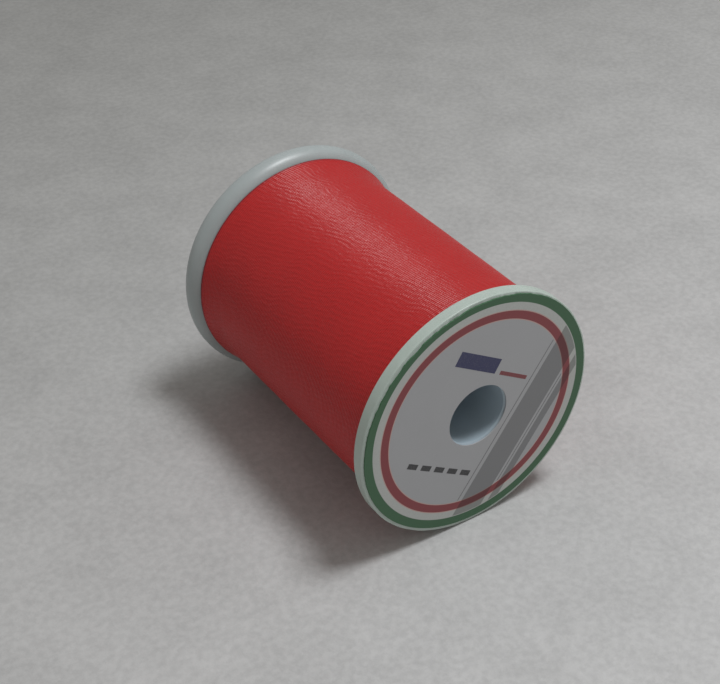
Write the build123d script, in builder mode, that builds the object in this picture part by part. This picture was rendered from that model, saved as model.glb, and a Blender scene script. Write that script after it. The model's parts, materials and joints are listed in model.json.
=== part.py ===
"""A small plastic spool of rod-winding thread, lying on its side.

Two pressed-on flanges close a hollow moulded core. The thread fills the space
between them, and a printed disc is stuck on each end.

The spool's axis runs along Y, and the flange with the main label faces -Y.
The origin is the middle of the spool, on its axis. +Z is up. Millimetres.
"""

from build123d import *
import os

# Overall size
FLANGE_RADIUS = 16.0
OVERALL_LENGTH = 41.7

# Bore for a thread stand's spindle
BORE_RADIUS = 4.0
BORE_MOUTH_CHAMFER = 0.3

# Printed end labels
LABEL_THICKNESS = 0.15
LABEL_HOLE_GAP = 0.05  # between the bore and the label's hole, which hides the chamfer
FRONT_LABEL_RADIUS = 15.66
FRONT_LABEL_OFFSET = (-0.04, 0.2)  # stuck on a little off centre: along X, along Z
REAR_LABEL_RADIUS = 13.8

# Flanges: a thin square-edged cap in front, a thick full-round one behind
FRONT_FLANGE_THICKNESS = 1.45
FRONT_EDGE_RADIUS = 0.12
REAR_FLANGE_THICKNESS = 3.45
SPIGOT_LENGTH = 2.0
SPIGOT_WALL = 1.0
SPIGOT_LEAD_IN = 0.3

# Core: hub tube, winding barrel and the ribs between them
HUB_RADIUS = 5.2
BARREL_RADIUS = 11.4
BARREL_WALL = 1.2
RIB_COUNT = 6
RIB_THICKNESS = 1.0
RIB_CLEARANCE = 0.2  # between a rib's end and the spigot in front of it

# Thread
WINDING_RADIUS = 14.55
WINDING_REAR_RADIUS = 15.08
FLARE_LENGTH = 4.0

# Stations along the axis, from the front label's face to the rear label's face
FRONT_LABEL_FACE = -OVERALL_LENGTH / 2
FRONT_FACE = FRONT_LABEL_FACE + LABEL_THICKNESS
FRONT_INNER_FACE = FRONT_FACE + FRONT_FLANGE_THICKNESS
REAR_LABEL_FACE = OVERALL_LENGTH / 2
REAR_FACE = REAR_LABEL_FACE - LABEL_THICKNESS
REAR_INNER_FACE = REAR_FACE - REAR_FLANGE_THICKNESS

# Radii that follow from the driving ones
BARREL_BORE_RADIUS = BARREL_RADIUS - BARREL_WALL
SPIGOT_INNER_RADIUS = BARREL_BORE_RADIUS - SPIGOT_WALL
LABEL_HOLE_RADIUS = BORE_RADIUS + LABEL_HOLE_GAP


def across(station):
    """A plane across the spool that looks along -Y, so X is right and Z is up."""
    return Plane.XZ.offset(-station)


# The core is one hollow moulding. The hub tube runs through both flanges, and the
# barrel stands between them on ribs, which stop short of the flanges' spigots.
core_length = REAR_FACE - FRONT_FACE
barrel_length = REAR_INNER_FACE - FRONT_INNER_FACE
rib_setback = SPIGOT_LENGTH + RIB_CLEARANCE
rib_bite = BARREL_WALL / 2  # how far a rib runs into the walls at its two ends
rib_height = BARREL_BORE_RADIUS - HUB_RADIUS + 2 * rib_bite
rib_middle = (BARREL_BORE_RADIUS + HUB_RADIUS) / 2

with BuildPart() as core:
    with BuildSketch(across(REAR_FACE)):
        Circle(HUB_RADIUS)
        Circle(BORE_RADIUS, mode=Mode.SUBTRACT)
    extrude(amount=core_length)
    bore_mouths = core.edges().filter_by(GeomType.CIRCLE).sort_by(SortBy.RADIUS)[:2]
    chamfer(bore_mouths, BORE_MOUTH_CHAMFER)
    with BuildSketch(across(REAR_INNER_FACE)):
        Circle(BARREL_RADIUS)
        Circle(BARREL_BORE_RADIUS, mode=Mode.SUBTRACT)
    extrude(amount=barrel_length)
    with BuildSketch(across(REAR_INNER_FACE - rib_setback)):
        with PolarLocations(rib_middle, RIB_COUNT):
            Rectangle(rib_height, RIB_THICKNESS)
    extrude(amount=barrel_length - 2 * rib_setback)
core.part.label = "core"

# The front flange is a thin disc with nearly sharp edges. Its spigot plugs into the
# barrel, and its hole is pressed over the hub tube.
with BuildPart() as front_flange:
    with BuildSketch(across(FRONT_INNER_FACE)):
        Circle(FLANGE_RADIUS)
    extrude(amount=FRONT_FLANGE_THICKNESS)
    fillet(front_flange.edges().filter_by(GeomType.CIRCLE), FRONT_EDGE_RADIUS)
    with BuildSketch(across(FRONT_INNER_FACE + SPIGOT_LENGTH)):
        Circle(BARREL_BORE_RADIUS)
        Circle(SPIGOT_INNER_RADIUS, mode=Mode.SUBTRACT)
    extrude(amount=SPIGOT_LENGTH)
    spigot_rims = front_flange.edges().filter_by(GeomType.CIRCLE).group_by(Axis.Y)[-1]
    chamfer(spigot_rims.sort_by(SortBy.RADIUS)[-1], SPIGOT_LEAD_IN)
    with BuildSketch(across(FRONT_INNER_FACE)):
        Circle(HUB_RADIUS)
    extrude(amount=FRONT_FLANGE_THICKNESS, mode=Mode.SUBTRACT)
front_flange.part.label = "front_flange"

# The rear flange is a thick disc whose rim is one full round, with the same spigot.
# It is turned from its half section, where X is the radius and Y the spool's axis.
rim_round = REAR_FLANGE_THICKNESS / 2
rim_start = FLANGE_RADIUS - rim_round
spigot_end = REAR_INNER_FACE - SPIGOT_LENGTH

with BuildPart() as rear_flange:
    with BuildSketch(Plane.XY):
        with BuildLine():
            Polyline(
                (rim_start, REAR_FACE),
                (HUB_RADIUS, REAR_FACE),
                (HUB_RADIUS, REAR_INNER_FACE),
                (SPIGOT_INNER_RADIUS, REAR_INNER_FACE),
                (SPIGOT_INNER_RADIUS, spigot_end),
                (BARREL_BORE_RADIUS - SPIGOT_LEAD_IN, spigot_end),
                (BARREL_BORE_RADIUS, spigot_end + SPIGOT_LEAD_IN),
                (BARREL_BORE_RADIUS, REAR_INNER_FACE),
                (rim_start, REAR_INNER_FACE),
            )
            ThreePointArc(
                (rim_start, REAR_INNER_FACE),
                (FLANGE_RADIUS, REAR_INNER_FACE + rim_round),
                (rim_start, REAR_FACE),
            )
        make_face()
    revolve(axis=Axis.Y)
rear_flange.part.label = "rear_flange"

# The thread is one body: a straight winding that swells up the rear flange.
flare_start = REAR_INNER_FACE - FLARE_LENGTH

with BuildPart() as thread_winding:
    with BuildSketch(Plane.XY):
        with BuildLine():
            Polyline(
                (WINDING_REAR_RADIUS, REAR_INNER_FACE),
                (BARREL_RADIUS, REAR_INNER_FACE),
                (BARREL_RADIUS, FRONT_INNER_FACE),
                (WINDING_RADIUS, FRONT_INNER_FACE),
                (WINDING_RADIUS, flare_start),
            )
            TangentArc(
                (WINDING_RADIUS, flare_start),
                (WINDING_REAR_RADIUS, REAR_INNER_FACE),
                tangent=(0, 1),
            )
        make_face()
    revolve(axis=Axis.Y)
thread_winding.part.label = "thread_winding"

# The labels are thin printed discs on the two end faces.
with BuildPart() as front_label:
    with BuildSketch(across(FRONT_FACE)):
        with Locations(FRONT_LABEL_OFFSET):
            Circle(FRONT_LABEL_RADIUS)
        Circle(LABEL_HOLE_RADIUS, mode=Mode.SUBTRACT)
    extrude(amount=LABEL_THICKNESS)
front_label.part.label = "front_label"

with BuildPart() as rear_label:
    with BuildSketch(across(REAR_LABEL_FACE)):
        Circle(REAR_LABEL_RADIUS)
        Circle(LABEL_HOLE_RADIUS, mode=Mode.SUBTRACT)
    extrude(amount=LABEL_THICKNESS)
rear_label.part.label = "rear_label"

os.makedirs("parts", exist_ok=True)
for piece in (core, front_flange, rear_flange, thread_winding, front_label, rear_label):
    export_step(piece.part, f"parts/{piece.part.label}.step")
    print(f"{piece.part.label}: {piece.part.volume:.0f} mm3")
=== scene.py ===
# %% [markdown]
# # A spool of rod-winding thread
#
# The object is a small moulded plastic spool wound full of red twisted thread. It lies on its side, with
# the printed label of its front flange turned towards us. The CAD model already says how big everything is
# and where it sits. This lesson gives it its looks: real turns of thread, moulded plastic, and printed
# discs.

# %% Load the frame
import json
import math

import bmesh
import bpy
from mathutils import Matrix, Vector, noise


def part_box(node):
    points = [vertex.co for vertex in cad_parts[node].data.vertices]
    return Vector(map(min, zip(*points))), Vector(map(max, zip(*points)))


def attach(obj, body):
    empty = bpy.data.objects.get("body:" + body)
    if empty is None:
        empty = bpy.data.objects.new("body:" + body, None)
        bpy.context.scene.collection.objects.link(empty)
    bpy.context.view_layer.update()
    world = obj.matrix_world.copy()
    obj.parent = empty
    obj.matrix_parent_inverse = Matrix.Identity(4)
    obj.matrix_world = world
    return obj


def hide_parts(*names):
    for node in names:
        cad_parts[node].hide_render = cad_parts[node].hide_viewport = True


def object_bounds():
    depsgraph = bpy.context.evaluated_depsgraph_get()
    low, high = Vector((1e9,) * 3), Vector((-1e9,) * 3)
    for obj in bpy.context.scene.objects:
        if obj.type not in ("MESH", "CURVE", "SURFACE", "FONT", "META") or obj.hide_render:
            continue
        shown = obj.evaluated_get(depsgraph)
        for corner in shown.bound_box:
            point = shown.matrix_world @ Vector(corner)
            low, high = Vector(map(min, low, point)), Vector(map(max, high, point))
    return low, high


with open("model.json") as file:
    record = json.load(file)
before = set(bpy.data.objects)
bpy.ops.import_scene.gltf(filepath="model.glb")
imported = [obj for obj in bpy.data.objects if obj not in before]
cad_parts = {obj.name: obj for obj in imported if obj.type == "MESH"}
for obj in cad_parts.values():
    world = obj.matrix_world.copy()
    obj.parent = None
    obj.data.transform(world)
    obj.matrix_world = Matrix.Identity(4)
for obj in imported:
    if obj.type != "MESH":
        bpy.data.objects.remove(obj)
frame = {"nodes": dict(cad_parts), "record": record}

cad_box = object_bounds()
mm = 0.001
print("CAD nodes:", sorted(frame["nodes"]))

# %% [markdown]
# ## Measurements from the frame
#
# The outer radii and the stations are read from the CAD nodes' boxes, so that they can't drift from the
# design. The spool's axis is Y. A node's size across it gives its diameter, and its ends along Y give its two
# stations. A few sizes that no box shows, such as the spigots inside, are repeated further down.

# %% Radii and stations


def radius_of(node):
    """Half the width of a round CAD node, measured where its many-sided mesh is narrower."""
    low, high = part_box(node)
    return min(high.x - low.x, high.z - low.z) / 2


def stations_of(node):
    """Where a CAD node starts and ends along the spool's axis."""
    low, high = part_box(node)
    return low.y, high.y


bore_radius = next(m["dims"]["r_mm"] for m in frame["record"]["mounts"] if m["name"] == "spindle_bore") * mm
flange_radius = radius_of("front_flange")
front_label_face, front_face = stations_of("front_label")
rear_face, rear_label_face = stations_of("rear_label")
front_inner_face, rear_inner_face = stations_of("thread_winding")
print(f"flanges {2000 * flange_radius:.1f} mm across, bore {2000 * bore_radius:.1f} mm")

# %% [markdown]
# ## The camera
#
# We look down on the labelled end from its upper left. The camera is placed from the middle of the front
# label, in flange radii, so that it would follow if the design changed size. A long lens keeps the flanges'
# circles calm, as they are when a small thing is looked at from about 17 cm.

# %% Camera
look_from = Vector((-5.212, -6.298, 6.546)) * flange_radius
look_along = Vector((0.4491, 0.6735, -0.5872))
camera = bpy.data.objects.new("camera", bpy.data.cameras.new("camera"))
bpy.context.scene.collection.objects.link(camera)
camera.location = Vector((0, front_label_face, 0)) + look_from
camera.rotation_euler = look_along.to_track_quat("-Z", "Y").to_euler()
camera.data.lens = 73.22
camera.data.sensor_width = 36
camera.data.clip_start = 0.01
bpy.context.scene.camera = camera
print("camera", [round(c / mm, 1) for c in camera.location], "mm")

# %% [markdown]
# ## Shader maths that reads like maths
#
# A procedural finish is mostly arithmetic on positions. Wiring that by hand hides the idea, so a small
# class wraps a socket and lets Python's own operators add the Math nodes. A second class holds one material
# and makes any other node from its type, its settings and its inputs.

# %% Sockets with operators


class Val:
    """A number socket in a finish, which Python's operators work on."""

    def __init__(self, finish, socket):
        self.finish, self.socket = finish, socket

    def math(self, operation, *values):
        made = self.finish.node("Math", {"operation": operation}, {i: v for i, v in enumerate(values)})
        return Val(self.finish, made.outputs[0])

    def __add__(self, other):
        return self.math("ADD", self, other)

    def __sub__(self, other):
        return self.math("SUBTRACT", self, other)

    def __mul__(self, other):
        return self.math("MULTIPLY", self, other)

    def __truediv__(self, other):
        return self.math("DIVIDE", self, other)

    def __radd__(self, other):
        return self.math("ADD", other, self)

    def __rsub__(self, other):
        return self.math("SUBTRACT", other, self)

    def __rmul__(self, other):
        return self.math("MULTIPLY", other, self)

    def sin(self):
        return self.math("SINE", self)

    def root(self):
        return self.math("SQRT", self)

    def fraction(self):
        return self.math("FRACT", self)

    def step(self, low, high):
        """0 below low, 1 above high, and a smooth climb between them."""
        made = self.finish.node("MapRange", {"interpolation_type": "SMOOTHSTEP"},
                                {"Value": self, "From Min": low, "From Max": high})
        return Val(self.finish, made.outputs[0])


print("adding, subtracting, multiplying or dividing a Val adds a Math node")

# %% A finish and its nodes


class Finish:
    """One material built on a Principled shader."""

    def __init__(self, name, **constants):
        self.material = bpy.data.materials.new(name)
        self.material.use_nodes = True
        self.tree = self.material.node_tree
        self.tree.nodes.clear()
        self.shader = self.node("BsdfPrincipled", {}, constants)
        self.node("OutputMaterial", {}, {"Surface": self.shader.outputs[0]})

    def node(self, kind, settings, inputs):
        """A node of this kind. Settings are set first, then each input gets its value or its link."""
        made = self.tree.nodes.new("ShaderNode" + kind)
        for name, value in settings.items():
            setattr(made, name, value)
        for name, value in inputs.items():
            socket = made.inputs[name.replace("_", " ") if isinstance(name, str) else name]
            if isinstance(value, Val):
                value = value.socket
            if isinstance(value, bpy.types.NodeSocket):
                self.tree.links.new(value, socket)
            else:
                socket.default_value = value
        return made

    def feed(self, name, value):
        """Link what varies over the surface to one of the shader's sockets."""
        socket = value.socket if isinstance(value, Val) else value
        self.tree.links.new(socket, self.shader.inputs[name])

    def mix(self, factor, low, high, blend="MIX"):
        """A colour between low and high."""
        made = self.node("Mix", {"data_type": "RGBA", "blend_type": blend}, {0: factor, 6: low, 7: high})
        return made.outputs[2]

    def position(self):
        """The place on the object, in metres, in the frame's own axes."""
        return self.node("TexCoord", {}, {}).outputs["Object"]

    def axes(self):
        """The position's X, Y and Z as numbers."""
        split = self.node("SeparateXYZ", {}, {0: self.position()})
        return [Val(self, out) for out in split.outputs]

    def noise(self, size, detail=2.0, stretch=(1, 1, 1), rough=0.5):
        """Noise from 0 to 1 whose blobs are about this size, in metres."""
        scale = tuple(s / size for s in stretch)
        placed = self.node("Mapping", {}, {"Vector": self.position(), "Scale": scale})
        made = self.node("TexNoise", {}, {"Vector": placed.outputs[0], "Scale": 1.0, "Detail": detail,
                                          "Roughness": rough})
        return Val(self, made.outputs[0])

    def bump(self, height, distance, strength=1.0):
        """Relief of height 0 to 1 times distance, in metres, feeding Normal."""
        made = self.node("Bump", {}, {"Height": height, "Distance": distance, "Strength": strength})
        self.feed("Normal", made.outputs[0])


def srgb(red, green, blue):
    """A colour given as it looks on a screen, 0 to 255, turned into the light values that shaders use."""
    parts = [c / 255 for c in (red, green, blue)]
    return (*(p / 12.92 if p <= 0.04045 else ((p + 0.055) / 1.055) ** 2.4 for p in parts), 1.0)


print("a grey of 128 on the screen is", round(srgb(128, 128, 128)[0], 3), "of full light")

# %% [markdown]
# ## Meshes turned on a lathe
#
# A spool is almost wholly round, so most pieces are an outline turned about the Y axis. Doing it in mesh
# code, and not with a primitive, lets every ring of points be nudged: moulded rims are never perfectly
# even. Edges sharper than 35 degrees stay crisp.

# %% Lathe


def new_piece(name, points, faces, finish, weld=0.0):
    """A mesh object from points and faces, shaded smooth except at its real edges."""
    mesh = bpy.data.meshes.new(name)
    mesh.from_pydata([tuple(p) for p in points], [], faces)
    shape = bmesh.new()
    shape.from_mesh(mesh)
    if weld:
        bmesh.ops.remove_doubles(shape, verts=shape.verts, dist=weld)
    bmesh.ops.recalc_face_normals(shape, faces=shape.faces)
    shape.to_mesh(mesh)
    shape.free()
    mesh.shade_smooth()
    mesh.set_sharp_from_angle(angle=math.radians(35))
    mesh.materials.append(finish.material)
    made = bpy.data.objects.new(name, mesh)
    bpy.context.scene.collection.objects.link(made)
    print(f"{name}: {len(mesh.polygons)} faces")
    return made


def lathe_points(outline, steps, nudge=None):
    """The outline's (radius, station) points at each step round the axis. nudge moves a point outwards."""
    points = []
    for step in range(steps):
        turn = 2 * math.pi * step / steps
        for index, (radius, station) in enumerate(outline):
            reach = radius + (nudge(index, turn) if nudge else 0)
            points.append((reach * math.sin(turn), station, reach * math.cos(turn)))
    return points


def lathe_faces(count, steps):
    """Quads between neighbouring outlines, for a closed outline of count points."""
    return [
        (a * count + i, b * count + i, b * count + (i + 1) % count, a * count + (i + 1) % count)
        for a, b in ((s, (s + 1) % steps) for s in range(steps))
        for i in range(count)
    ]


def arc(centre, radius, start, end, pieces):
    """Points on a round corner, as (radius, station), from one angle to another in degrees."""
    angles = [math.radians(start + (end - start) * i / pieces) for i in range(pieces + 1)]
    return [(centre[0] + radius * math.cos(a), centre[1] + radius * math.sin(a)) for a in angles]


print("a quarter round in 5 pieces has", len(arc((0, 0), 1, 0, 90, 5)), "points")

# %% [markdown]
# ## Moulded plastic
#
# Both flanges and the core are pale, slightly milky plastic. The front flange is a touch greener than the
# rest, as if it came from another batch. Such plastic lets a little light into its skin, which is what
# subsurface scattering is for. The mould leaves faint flow marks and a very fine orange peel, and handling
# leaves scuffs that show only in the gloss.

# %% Plastic finishes


def moulded(name, colour, gloss):
    """Pale milky plastic with flow marks, orange peel and handling scuffs."""
    plastic = Finish(name, IOR=1.55, Subsurface_Weight=0.25, Subsurface_Radius=(0.9, 1.0, 1.0),
                     Subsurface_Scale=0.8 * mm)
    flow = plastic.noise(6 * mm, detail=3.0, stretch=(1, 0.4, 1))
    specks = plastic.noise(0.35 * mm, detail=1.0).step(0.70, 0.78)
    deep = tuple(c * 0.90 for c in colour[:3]) + (1.0,)
    tinted = plastic.mix(flow.step(0.35, 0.75), deep, colour)
    plastic.feed("Base Color", plastic.mix(specks * 0.10, tinted, srgb(140, 140, 132)))
    scuffs = plastic.noise(1.6 * mm, detail=6.0, stretch=(1, 3, 1)).step(0.52, 0.72)
    plastic.feed("Roughness", gloss + scuffs * 0.16 + flow * 0.06)
    peel = plastic.noise(0.5 * mm, detail=2.0)
    plastic.bump(peel + scuffs * 0.4, 0.006 * mm, strength=0.6)
    return plastic


front_plastic = moulded("front_flange_plastic", srgb(182, 195, 187), 0.34)
rear_plastic = moulded("rear_flange_plastic", srgb(168, 176, 176), 0.36)
core_plastic = moulded("core_plastic", srgb(180, 196, 206), 0.30)
print("each plastic has", len(core_plastic.tree.nodes), "nodes")

# %% [markdown]
# ## The flanges
#
# The front flange is a thin disc with nearly square edges. Where the two halves of its mould met, a hair of
# flash stands out along the front edge, uneven all the way round. The rear flange has a full round rim with
# a faint witness line at its widest point. Both keep the CAD's size: the nudges only ever go inwards.

# %% Front flange
flange_steps = 360
hub_radius = 5.2 * mm
barrel_bore = 10.2 * mm
spigot_wall = 1.0 * mm
spigot_length = 2.0 * mm
edge_round = 0.13 * mm
flash_height = 0.05 * mm
side_relief = 0.03 * mm
side_start = 0.35 * mm


def rim_flash(index, turn):
    """Uneven flash on the front edge: only the points marked as the edge move."""
    if index not in flash_points:
        return 0.0
    ragged = noise.noise(Vector((math.sin(turn) * 9, math.cos(turn) * 9, 3.1)))
    fine = noise.noise(Vector((math.sin(turn) * 60, math.cos(turn) * 60, 7.7)))
    return -flash_height * max(0.0, 0.5 + ragged + 0.4 * fine)


corner_middle = flange_radius - edge_round
front_outline = [
    (hub_radius, front_face),
    *arc((corner_middle, front_face + edge_round), edge_round, -90, 0, 5),
    (flange_radius - side_relief, front_face + side_start),
    (flange_radius - side_relief, front_inner_face - side_start),
    *arc((corner_middle, front_inner_face - edge_round), edge_round, 0, 90, 5),
    (barrel_bore, front_inner_face),
    (barrel_bore, front_inner_face + spigot_length),
    (barrel_bore - spigot_wall, front_inner_face + spigot_length),
    (barrel_bore - spigot_wall, front_inner_face),
    (hub_radius, front_inner_face),
]
flash_points = range(2, 7)
front_flange = new_piece("front_flange_disc", lathe_points(front_outline, flange_steps, rim_flash),
                         lathe_faces(len(front_outline), flange_steps), front_plastic)
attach(front_flange, "root")
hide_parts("front_flange")

# %% Rear flange
rim_round = (rear_face - rear_inner_face) / 2
rim_middle = (rear_face + rear_inner_face) / 2
witness_depth = 0.02 * mm
rim_waviness = 0.004 * mm
rim_arc = arc((flange_radius - rim_round, rim_middle), rim_round, 90, -90, 32)
rear_outline = [
    (hub_radius, rear_inner_face),
    (hub_radius, rear_face),
    *rim_arc,
    (barrel_bore, rear_inner_face),
    (barrel_bore, rear_inner_face - spigot_length),
    (barrel_bore - spigot_wall, rear_inner_face - spigot_length),
    (barrel_bore - spigot_wall, rear_inner_face),
]
witness_line = 2 + len(rim_arc) // 2


def rim_witness(index, turn):
    """A faint groove at the widest point of the rim. Everywhere else the surface waves very slightly."""
    if index != witness_line:
        wave = noise.noise(Vector((math.sin(turn) * 3, math.cos(turn) * 3, index * 0.1)))
        return -rim_waviness * (1 + wave)
    return -witness_depth


rear_flange = new_piece("rear_flange_disc", lathe_points(rear_outline, flange_steps, rim_witness),
                        lathe_faces(len(rear_outline), flange_steps), rear_plastic)
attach(rear_flange, "root")
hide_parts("rear_flange")

# %% Core
core = frame["nodes"]["core"]
core.data.materials.clear()
core.data.materials.append(core_plastic.material)
print("core keeps its CAD mesh:", len(core.data.polygons), "faces")

# %% [markdown]
# ## Thread
#
# The winding could be a smooth cylinder with a pattern on it, but its sheen comes from its turns: each one
# is a small round ridge, so light spreads along the spool and stays narrow round it. The mesh here is one
# true helix. A row of points follows the thread, and the seam joins each turn to the next one. The first
# and last turns taper to nothing against the flanges, as a screw thread runs out, which closes the mesh
# neatly.
#
# A thread wound by machine still isn't perfect. The winding swells where it climbs the rear flange, it is
# very slightly wavy along its length, and some turns stand a little lower than their neighbours.

# %% Size of the winding
winding_radius = 14.55 * mm
rear_radius = radius_of("thread_winding")
flare_length = 4.0 * mm
barrel_radius = 11.4 * mm
thread_thickness = 0.27 * mm
rows_per_turn = 6
columns = 120
turn_count = round((rear_inner_face - front_inner_face) / thread_thickness)
turn_pitch = (rear_inner_face - front_inner_face) / turn_count
ridge_size = 0.42
ridge_flatness = 0.08
groove_depth = ridge_size * thread_thickness * (1 - math.sqrt(ridge_flatness))
print(f"{turn_count} turns, {turn_pitch / mm:.3f} mm apart")

# %% Shape of the winding


def winding_surface(station):
    """The winding's outer radius: straight, then swelling up the rear flange."""
    into_flare = max(0.0, station - (rear_inner_face - flare_length)) / flare_length
    slow = noise.noise(Vector((station / (5 * mm), 1.7, 0.0)))
    quick = noise.noise(Vector((station / (1.1 * mm), 8.2, 0.0)))
    uneven = 0.030 * mm * (slow - 0.7) + 0.010 * mm * (quick - 0.7)
    return winding_radius + (rear_radius - winding_radius) * into_flare**2 + uneven * (1 - into_flare)


def ridge_height(row, column):
    """How far a point stands above the groove: nothing in the groove, most at the crest of the turn."""
    across = row % rows_per_turn / rows_per_turn
    round_back = math.sqrt(1 - (1 - ridge_flatness) * (2 * across - 1) ** 2) - math.sqrt(ridge_flatness)
    turn_number = row // rows_per_turn + column / columns
    tightness = 0.88 + 0.12 * noise.noise(Vector((turn_number * 0.83, 5.5, 0.0)))
    return ridge_size * thread_thickness * round_back * tightness


def winding_point(row, column):
    """Place of one point on the helix, which starts and ends with a turn that tapers to nothing."""
    share = column / columns
    if row < rows_per_turn:
        station = front_inner_face + turn_pitch * share * row / rows_per_turn
        taper = share
    elif row <= rows_per_turn * turn_count:
        station = front_inner_face + turn_pitch * (row / rows_per_turn - 1 + share)
        taper = 1.0
    else:
        left = turn_count + 1 - row / rows_per_turn
        station = rear_inner_face - turn_pitch * (1 - share) * left
        taper = 1 - share
    radius = winding_surface(station) - groove_depth + ridge_height(row, column) * taper
    turn = 2 * math.pi * share + math.pi
    return radius * math.sin(turn), station, radius * math.cos(turn)


last_row = rows_per_turn * (turn_count + 1)
points = [winding_point(row, column) for row in range(last_row + 1) for column in range(columns + 1)]
print(len(points), "points on the helix, grooves", round(groove_depth / mm, 3), "mm deep")

# %% Faces of the winding, closed by the barrel inside
width = columns + 1
faces = [
    (a, a + 1, a + 1 + width, a + width)
    for row in range(last_row)
    for a in range(row * width, row * width + columns)
]
inner_start = len(points)
for station in (rear_inner_face, front_inner_face):
    for column in range(width):
        turn = 2 * math.pi * column / columns + math.pi
        points.append((barrel_radius * math.sin(turn), station, barrel_radius * math.cos(turn)))
for column in range(columns):
    back = inner_start + column
    front = back + width
    top = last_row * width + column
    faces.append((top, top + 1, back + 1, back))
    faces.append((back, back + 1, front + 1, front))
    faces.append((front, front + 1, column + 1, column))
print(len(faces), "faces, of which", 3 * columns, "close the winding")

# %% [markdown]
# ## The look of twisted thread
#
# Rod-winding thread is a few shiny filaments twisted together. Seen close, each turn carries a row of small
# slanting bumps, one for each ply, about 0.7 mm apart. From one turn to the next the bumps shift by about a
# seventh of that, so they run together into fine broken ripples that cross the spool at a slant, steeper in
# some places than in others.
#
# The finish works this out from the position alone. The angle round the axis gives the place along a turn,
# and the station gives the turn. The bumps mostly feed Normal. They lighten the colour only a little. Shade
# is
# painted into the colour too: it is darker down in the grooves, and darker again where the flanges shade it.

# %% Thread finish
plies_round_a_turn = 138
lean_per_turn = 0.15
thread = Finish("red_thread", IOR=1.5, Specular_IOR_Level=0.38, Sheen_Weight=0.12,
                Sheen_Roughness=0.3, Sheen_Tint=srgb(255, 205, 205))
x, y, z = thread.axes()
angle_share = x.math("ARCTAN2", x, z) / (2 * math.pi)
turn_number = (y - front_inner_face) / turn_pitch
across_turn = (turn_number - angle_share - 0.5).fraction()
crest = (across_turn * math.pi).sin()
lean_noise = thread.node("TexNoise", {"noise_dimensions": "1D"},
                         {"W": turn_number / 14, "Scale": 1.0, "Detail": 1.0})
lean = Val(thread, lean_noise.outputs[0]) * 1.5 + turn_number * lean_per_turn
wander = thread.noise(4.6 * mm, detail=2.0, stretch=(1, 1.6, 1), rough=0.45) * 2.2
phase = angle_share * plies_round_a_turn + lean + wander + across_turn * 0.35
ripple = (phase.fraction() * (2 * math.pi)).sin() * 0.5 + 0.5
strength = 0.12 + thread.noise(0.8 * mm, detail=1.0, stretch=(1, 0.9, 1)).step(0.40, 0.58) * 0.88
beads = thread.noise(0.42 * mm, detail=1.0, stretch=(1, 0.5, 1))
fibres = thread.noise(0.12 * mm, detail=2.0, stretch=(1, 1.6, 1))
relief = ripple * strength * 0.5 + beads * 0.9 + fibres * 0.12
thread.bump(relief, 0.036 * mm)
deep_red = srgb(147, 25, 27)
bright_red = srgb(188, 38, 38)
patches = thread.noise(7 * mm, detail=2.0).step(0.25, 0.75)
# Painted shade: the colour darkens down in each groove, away from the crest. Ripple and patches lighten it a
# little.
tone_and_groove_shade = 0.30 + crest * 0.40 + ripple * 0.17 + patches * 0.13
wound_red = thread.mix(tone_and_groove_shade, deep_red, bright_red)
# Painted shade: a darker red next to each flange, where the flange would shade the thread.
clear_of_front_shade = y.step(front_inner_face, front_inner_face + 0.4 * mm)
clear_of_rear_shade = 1 - y.step(rear_inner_face - 0.45 * mm, rear_inner_face)
shaded_red = srgb(129, 24, 34)
thread.feed("Base Color", thread.mix(clear_of_front_shade * clear_of_rear_shade, shaded_red, wound_red))
thread.feed("Roughness", 0.35 - ripple * 0.06 + patches * 0.05)
print("red thread has", len(thread.tree.nodes), "nodes")

# %% Winding piece
winding = new_piece("thread_turns", points, faces, thread, weld=0.1e-6)
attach(winding, "root")
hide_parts("thread_winding")

# %% [markdown]
# ## The printed discs
#
# A paper-thin disc is stuck on each end. On the front one, three printed bands ring a matte silver middle:
# green at the cut edge, then pale silver, then red with a hair of pale pink on both sides. Bands that are
# true circles are best drawn by the finish itself, from the distance to the disc's centre, because such an
# edge stays sharp at any size.
#
# The same colours are used twice: once as they are, and once darker for the two grey stripes that are
# printed over them. The ink of the stripes lets the rings show through, so its finish is the same print,
# darkened.

# %% Colours printed on the discs
label_low, label_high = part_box("front_label")
label_centre = (label_low + label_high) / 2
label_radius = radius_of("front_label")
red_ring = (12.41 * mm, 13.43 * mm)
green_ring = (14.50 * mm, 16.5 * mm)
outline_width = 0.11 * mm
soft_edge = 0.02 * mm


def print_finish(name, centre, rings, silver, shade):
    """Silver card with printed rings, each from its inner to its outer radius. shade darkens all of it."""
    card = Finish(name, IOR=1.5)
    x, _, z = card.axes()
    away_x = x - centre.x
    away_z = z - centre.z
    distance = (away_x * away_x + away_z * away_z).root()
    grain = card.noise(0.22 * mm, detail=2.0)
    cloudy = card.noise(4 * mm, detail=3.0)
    colour = card.mix(grain * 0.5 + cloudy * 0.5, tuple(c * 0.88 for c in silver[:3]) + (1.0,), silver)
    for inner, outer, ink, halo in rings:
        for grow, paint in ((outline_width, halo), (0.0, ink)):
            if paint is not None:
                start, end = inner - grow, outer + grow
                inside = distance.step(start - soft_edge, start + soft_edge)
                beyond = distance.step(end - soft_edge, end + soft_edge)
                worn = tuple(c * 1.25 for c in paint[:3]) + (1.0,)
                thin_ink = card.mix(grain.step(0.3, 0.7) * 0.25, paint, worn)
                colour = card.mix(inside * (1 - beyond), colour, thin_ink)
    card.feed("Base Color", card.mix(1.0, colour, (shade, shade, shade * 1.02, 1.0), blend="MULTIPLY"))
    card.feed("Roughness", 0.36 + grain * 0.14 + cloudy * 0.08)
    card.bump(grain, 0.003 * mm, strength=0.5)
    return card


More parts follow.
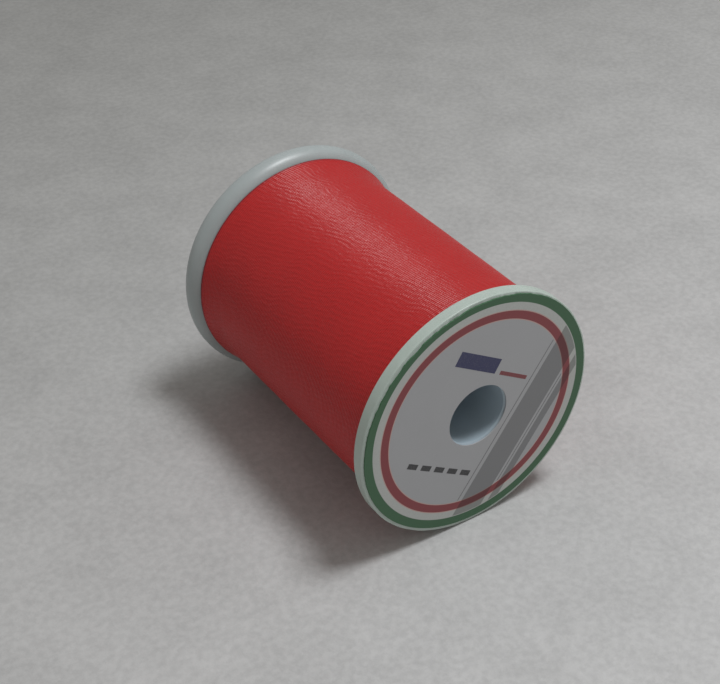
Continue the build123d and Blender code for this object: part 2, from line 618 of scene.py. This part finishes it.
silver_card = srgb(176, 177, 178)
front_rings = [
    (13.50 * mm, 14.50 * mm, srgb(182, 185, 180), None),
    (*red_ring, srgb(134, 60, 64), srgb(190, 160, 152)),
    (*green_ring, srgb(60, 99, 68), None),
]
front_card = print_finish("front_label_print", label_centre, front_rings, silver_card, 1.0)
grey_overprint = print_finish("grey_overprint", label_centre, front_rings, silver_card, 0.54)
print("rings end at", [round(outer / mm, 1) for _, outer, _, _ in front_rings], "mm")

# %% [markdown]
# ## Cutting the discs
#
# The card is a thin slab with a hole, turned like the flanges but about its own centre, which is a fifth of
# a millimetre above the spool's axis. It was punched with a worn tool, so its edge is slightly ragged at
# the upper left. Its face stops a hair short of the CAD disc's face, which leaves room for the ink.

# %% Card disc
ink_room = 0.012 * mm
hole_radius = bore_radius + 0.05 * mm
edge_bevel = 0.02 * mm


def card_disc(name, centre, radius, face, back, ragged_from, ragged_amount, finish):
    """A punched card disc between two stations, ragged on the side that ragged_from points to."""
    steps = 360
    outward = 1 if back > face else -1
    points = []
    for step in range(steps):
        turn = 2 * math.pi * step / steps
        aside, up = math.sin(turn), math.cos(turn)
        rough_side = max(0.0, aside * ragged_from[0] + up * ragged_from[1]) ** 2
        coarse = noise.noise(Vector((aside * 14, up * 14, 2.0)))
        fine = noise.noise(Vector((turn * 40, 1.0, 0.5)))
        tear = 0.7 + 0.2 * coarse + 0.2 * fine
        edge = radius - ragged_amount * rough_side * tear
        for reach, station in ((edge, back), (edge, face + outward * edge_bevel), (edge - edge_bevel, face)):
            points.append((centre.x + reach * aside, station, centre.z + reach * up))
        for part in (0.75, 0.5, 0.25, 0.0):
            away = Vector((aside * hole_radius, up * hole_radius))
            rim = Vector((centre.x + (edge - edge_bevel) * aside, centre.z + (edge - edge_bevel) * up))
            spot = away.lerp(rim, part)
            points.append((spot.x, face, spot.y))
        points.append((aside * hole_radius, back, up * hole_radius))
    return new_piece(name, points, lathe_faces(8, steps), finish)


front_card_disc = card_disc("front_label_card", label_centre, label_radius, front_label_face + ink_room,
                            front_face, (-0.5, 0.87), 0.60 * mm, front_card)
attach(front_card_disc, "root")
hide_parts("front_label")

# %% [markdown]
# ## Ink laid on the card
#
# The rest of the print is plain shapes. Each is a slab of ink a few thousandths of a millimetre thick, made
# from its outline. Real ink is laid in the same way, one colour over the other. Shapes that could overlap
# get different heights, so that their top faces never lie in the same plane.
#
# The design is a plain one of this spool's own, with no picture and no lettering. Two stripes and two
# hairlines run straight across one side of the card, a thick bar and a thin one stand above the hole, and a
# row of five equal dashes lies below it.

# %% Outlines for the ink
end_cuts = 8
dash_count, dash_step, dash_length, dash_height = 5, 2.2, 1.5, 0.7


def stripe(near, far, reach, facing):
    """The strip of a disc between two parallel chords, near and far from its centre, in millimetres."""
    centre = Vector((label_centre.x, label_centre.z)) / mm
    outline = []
    for first, last, side in ((near, far, 1), (far, near, -1)):
        for cut in range(end_cuts + 1):
            offset = first + (last - first) * cut / end_cuts
            half_chord = side * math.sqrt(reach**2 - offset**2)
            outline.append(centre + facing * offset + Vector((-facing.y, facing.x)) * half_chord)
    return outline


def bar(start, along, length, height):
    """A plain bar standing on a tilted line."""
    up = Vector((-along.y, along.x)) * height
    low = Vector(start)
    return [low, low + along * length, low + along * length + up, low + up]


def dash_row(start, along):
    """Equal dashes in a row."""
    starts = [Vector(start) + along * (dash_step * i) for i in range(dash_count)]
    return [bar(place, along, dash_length, dash_height) for place in starts]


print("dash row", round(dash_step * (dash_count - 1) + dash_length, 1), "mm long")

# %% Slabs of ink
layer_height = 0.003 * mm


def ink_piece(name, outlines, layer, finish, ground, outward):
    """Closed slabs of ink over these outlines, in millimetres, standing out from the card's face."""
    points, faces = [], []
    top = ground + outward * layer * layer_height
    for outline in outlines:
        count, first = len(outline), len(points)
        for station in (top, ground):
            points.extend((p[0] * mm, station, p[1] * mm) for p in outline)
        faces.append(tuple(range(first, first + count)))
        faces.append(tuple(range(first + 2 * count - 1, first + count - 1, -1)))
        for i in range(count):
            after = (i + 1) % count
            faces.append((first + i, first + after, first + count + after, first + count + i))
    made = new_piece(name, points, faces, finish)
    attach(made, "root")


def front_ink(name, outlines, layer, finish):
    """Ink on the front card."""
    ink_piece(name, outlines, layer, finish, front_label_face + ink_room, -1)


# %% Inks


def plain_ink(name, colour, gloss=0.4):
    """One ink, a little uneven where the card's grain shows through."""
    ink = Finish(name, IOR=1.5)
    grain = ink.noise(0.18 * mm, detail=2.0)
    thin = tuple(0.85 * c + 0.06 for c in colour[:3]) + (1.0,)
    ink.feed("Base Color", ink.mix(grain.step(0.45, 0.85), colour, thin))
    ink.feed("Roughness", gloss + grain * 0.12)
    ink.bump(grain, 0.002 * mm, strength=0.5)
    return ink


navy_ink = plain_ink("navy_ink", srgb(52, 54, 92))
dark_red_ink = plain_ink("dark_red_ink", srgb(128, 62, 66))
black_ink = plain_ink("black_ink", srgb(60, 60, 62))
grey_ink = plain_ink("grey_line_ink", srgb(118, 118, 120))
print("four plain inks of", len(grey_ink.tree.nodes), "nodes each")

# %% Stripes and hairlines
stripe_angle = math.radians(-35)
stripe_facing = Vector((math.cos(stripe_angle), math.sin(stripe_angle)))
stripe_reach = 14.4
front_ink("front_label_broad_stripe", [stripe(5.6, 9.2, stripe_reach, stripe_facing)], 1, grey_overprint)
front_ink("front_label_narrow_stripe", [stripe(10.0, 11.1, stripe_reach, stripe_facing)], 1, grey_overprint)
hairlines = [stripe(near, near + 0.12, 12.2, stripe_facing) for near in (4.9, 9.55)]
front_ink("front_label_hairlines", hairlines, 2, grey_ink)

# %% Bars and dashes on tilted lines
tilt = math.radians(-30.5)
along = Vector((math.cos(tilt), math.sin(tilt)))
bar_start = Vector((-3.7, 8.5))
front_ink("front_label_thick_bar", [bar(bar_start, along, 6.6, 1.9)], 3, navy_ink)
front_ink("front_label_thin_bar", [bar(bar_start + along * 7.4, along, 4.6, 0.5)], 3, dark_red_ink)
front_ink("front_label_dashes", dash_row((-9.9, -3.3), along), 3, black_ink)

# %% [markdown]
# ## The rear disc
#
# The far end carries a smaller disc. It only has to show which thread this is, so it is a silver card with
# one ring in the thread's own red, a green edge, and the same row of dashes.

# %% Rear disc
rear_centre = Vector((0, 0, 0))
rear_rings = [
    (10.9 * mm, 12.3 * mm, srgb(186, 48, 50), srgb(204, 158, 148)),
    (12.95 * mm, 14.0 * mm, srgb(66, 108, 76), None),
]
rear_card = print_finish("rear_label_print", rear_centre, rear_rings, silver_card, 1.0)
rear_disc = card_disc("rear_label_card", rear_centre, radius_of("rear_label"), rear_label_face - ink_room,
                      rear_face, (0.6, -0.8), 0.06 * mm, rear_card)
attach(rear_disc, "root")
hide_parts("rear_label")
rear_dashes = dash_row((-5.15, -8.2), Vector((1, 0)))
ink_piece("rear_label_dashes", rear_dashes, 1, black_ink, rear_label_face - ink_room, 1)

# %% [markdown]
# ## The table top
#
# The spool lies on a pale, slightly fuzzy cloth. It is only a stage, so it stays plain: a flat sheet that
# the rims just touch, with a faint nap in its colour and its relief. Light is painted into its colour: it is
# painted lighter towards us, as if more of the lamp's light fell there.

# %% Cloth floor
floor_height = cad_box[0].z
floor_reach = 0.9
cloth = Finish("floor_cloth", IOR=1.45, Specular_IOR_Level=0.2)
x, y, _ = cloth.axes()
# Painted light: the cloth's colour grows lighter towards us, from a darker grey to a paler one.
painted_light_towards_us = (x * 0.20 - y * 0.98).step(-0.16, 0.16)
nap = cloth.noise(0.9 * mm, detail=4.0, rough=0.65)
patchy = cloth.noise(9 * mm, detail=3.0)
pale = cloth.mix(painted_light_towards_us, srgb(148, 148, 146), srgb(200, 200, 200))
unevenness = nap.step(0.25, 0.75) * 0.6 + patchy.step(0.2, 0.8) * 0.4
mottled = cloth.mix(unevenness, (0.86, 0.86, 0.86, 1.0), (1.13, 1.13, 1.13, 1.0))
cloth.feed("Base Color", cloth.mix(1.0, pale, mottled, blend="MULTIPLY"))
cloth.feed("Roughness", 0.85 + nap * 0.1)
cloth.bump(nap, 0.10 * mm, strength=0.6)
floor_corners = [(floor_reach * aside, floor_reach * along_y, floor_height)
                 for aside, along_y in ((-1, -1), (1, -1), (1, 1), (-1, 1))]
floor = new_piece("floor", floor_corners, [(0, 1, 2, 3)], cloth)

# %% [markdown]
# ## Light
#
# One soft lamp hangs almost straight above the spool, a little to its right and a little towards us. The
# thread's top shines, the light just grazes the labelled end and reaches in over the lip of the bore, and a
# soft shadow lies along the spool's left side. An even pale world, slightly warm, fills the shade. Together
# they light a level surface at about strength 1, so that colours look as they are written.

# %% Lamps


def soft_lamp(name, direction, distance, size, power):
    """A square lamp that faces the middle of the spool from this direction."""
    lamp = bpy.data.objects.new(name, bpy.data.lights.new(name, "AREA"))
    bpy.context.scene.collection.objects.link(lamp)
    lamp.location = Vector(direction).normalized() * distance
    lamp.rotation_euler = lamp.location.to_track_quat("Z", "Y").to_euler()
    lamp.data.size = size
    lamp.data.energy = power
    lamp.data.color = (0.98, 1.0, 1.02)
    print(f"{name} at {distance} m, {power} W")


soft_lamp("key_lamp", (0.25, -0.15, 0.96), 0.55, 0.14, 1.98)
world = bpy.data.worlds.new("pale_surroundings")
world.use_nodes = True
sky = world.node_tree.nodes["Background"]
sky.inputs["Color"].default_value = (1.0, 0.965, 0.93, 1.0)
sky.inputs["Strength"].default_value = 0.36
bpy.context.scene.world = world
bpy.context.scene.view_settings.view_transform = "Standard"
